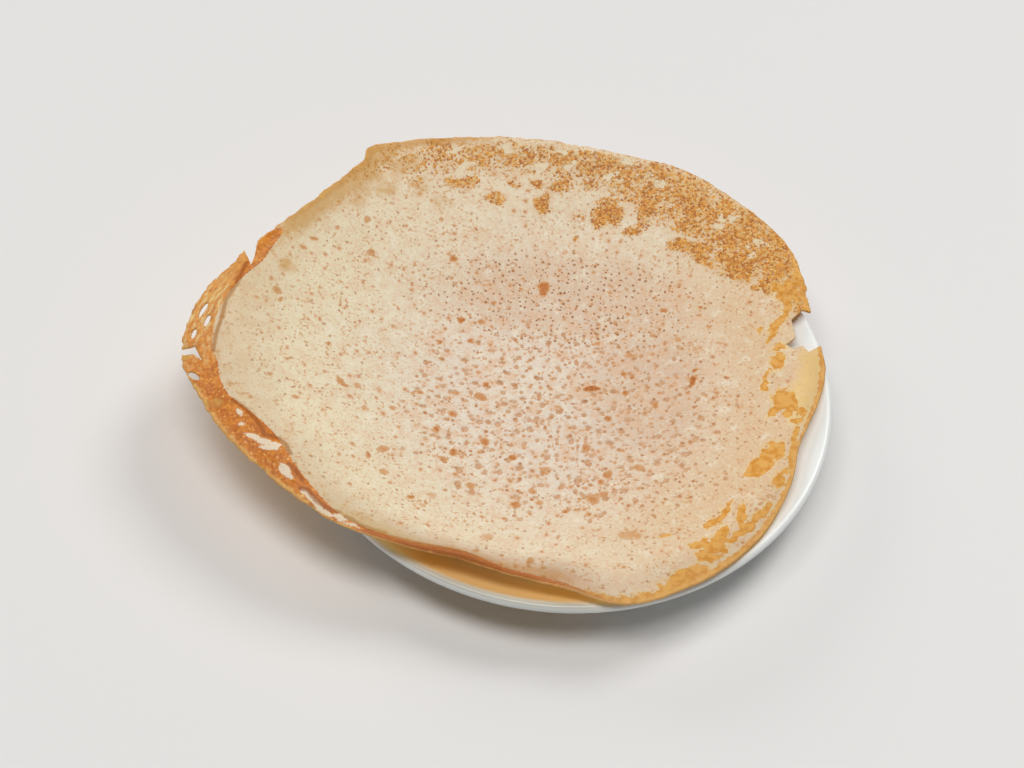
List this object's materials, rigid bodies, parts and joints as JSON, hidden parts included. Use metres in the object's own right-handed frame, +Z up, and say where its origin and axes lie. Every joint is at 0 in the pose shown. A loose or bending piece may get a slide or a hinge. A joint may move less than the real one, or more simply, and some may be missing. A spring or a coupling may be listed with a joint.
{
  "type": "plate of hoppers",
  "caption": "Bowl-shaped rice pancake with a lacy browned rim and a pitted spongy middle, resting on its small round white plate.",
  "frame": {"origin": "centre of the bottom of the bounding box of plate and hopper, on the surface that the plate stands on; the plate's own axis stands 18 mm to +X and 6 mm to -Y of it", "axes": "+Z up; +X along the longest extent, away from the hopper's turned-down overhanging edge; +Y to the back of the serving, where the hopper's rim stands high"},
  "size_m": [0.216, 0.1914, 0.0414],
  "materials": {
    "plate_glaze": "white glossy glaze",
    "hopper_crumb": null
  },
  "bodies": {
    "root": {"plate": "plate_glaze", "hopper": "hopper_crumb"}
  },
  "joints": []
}
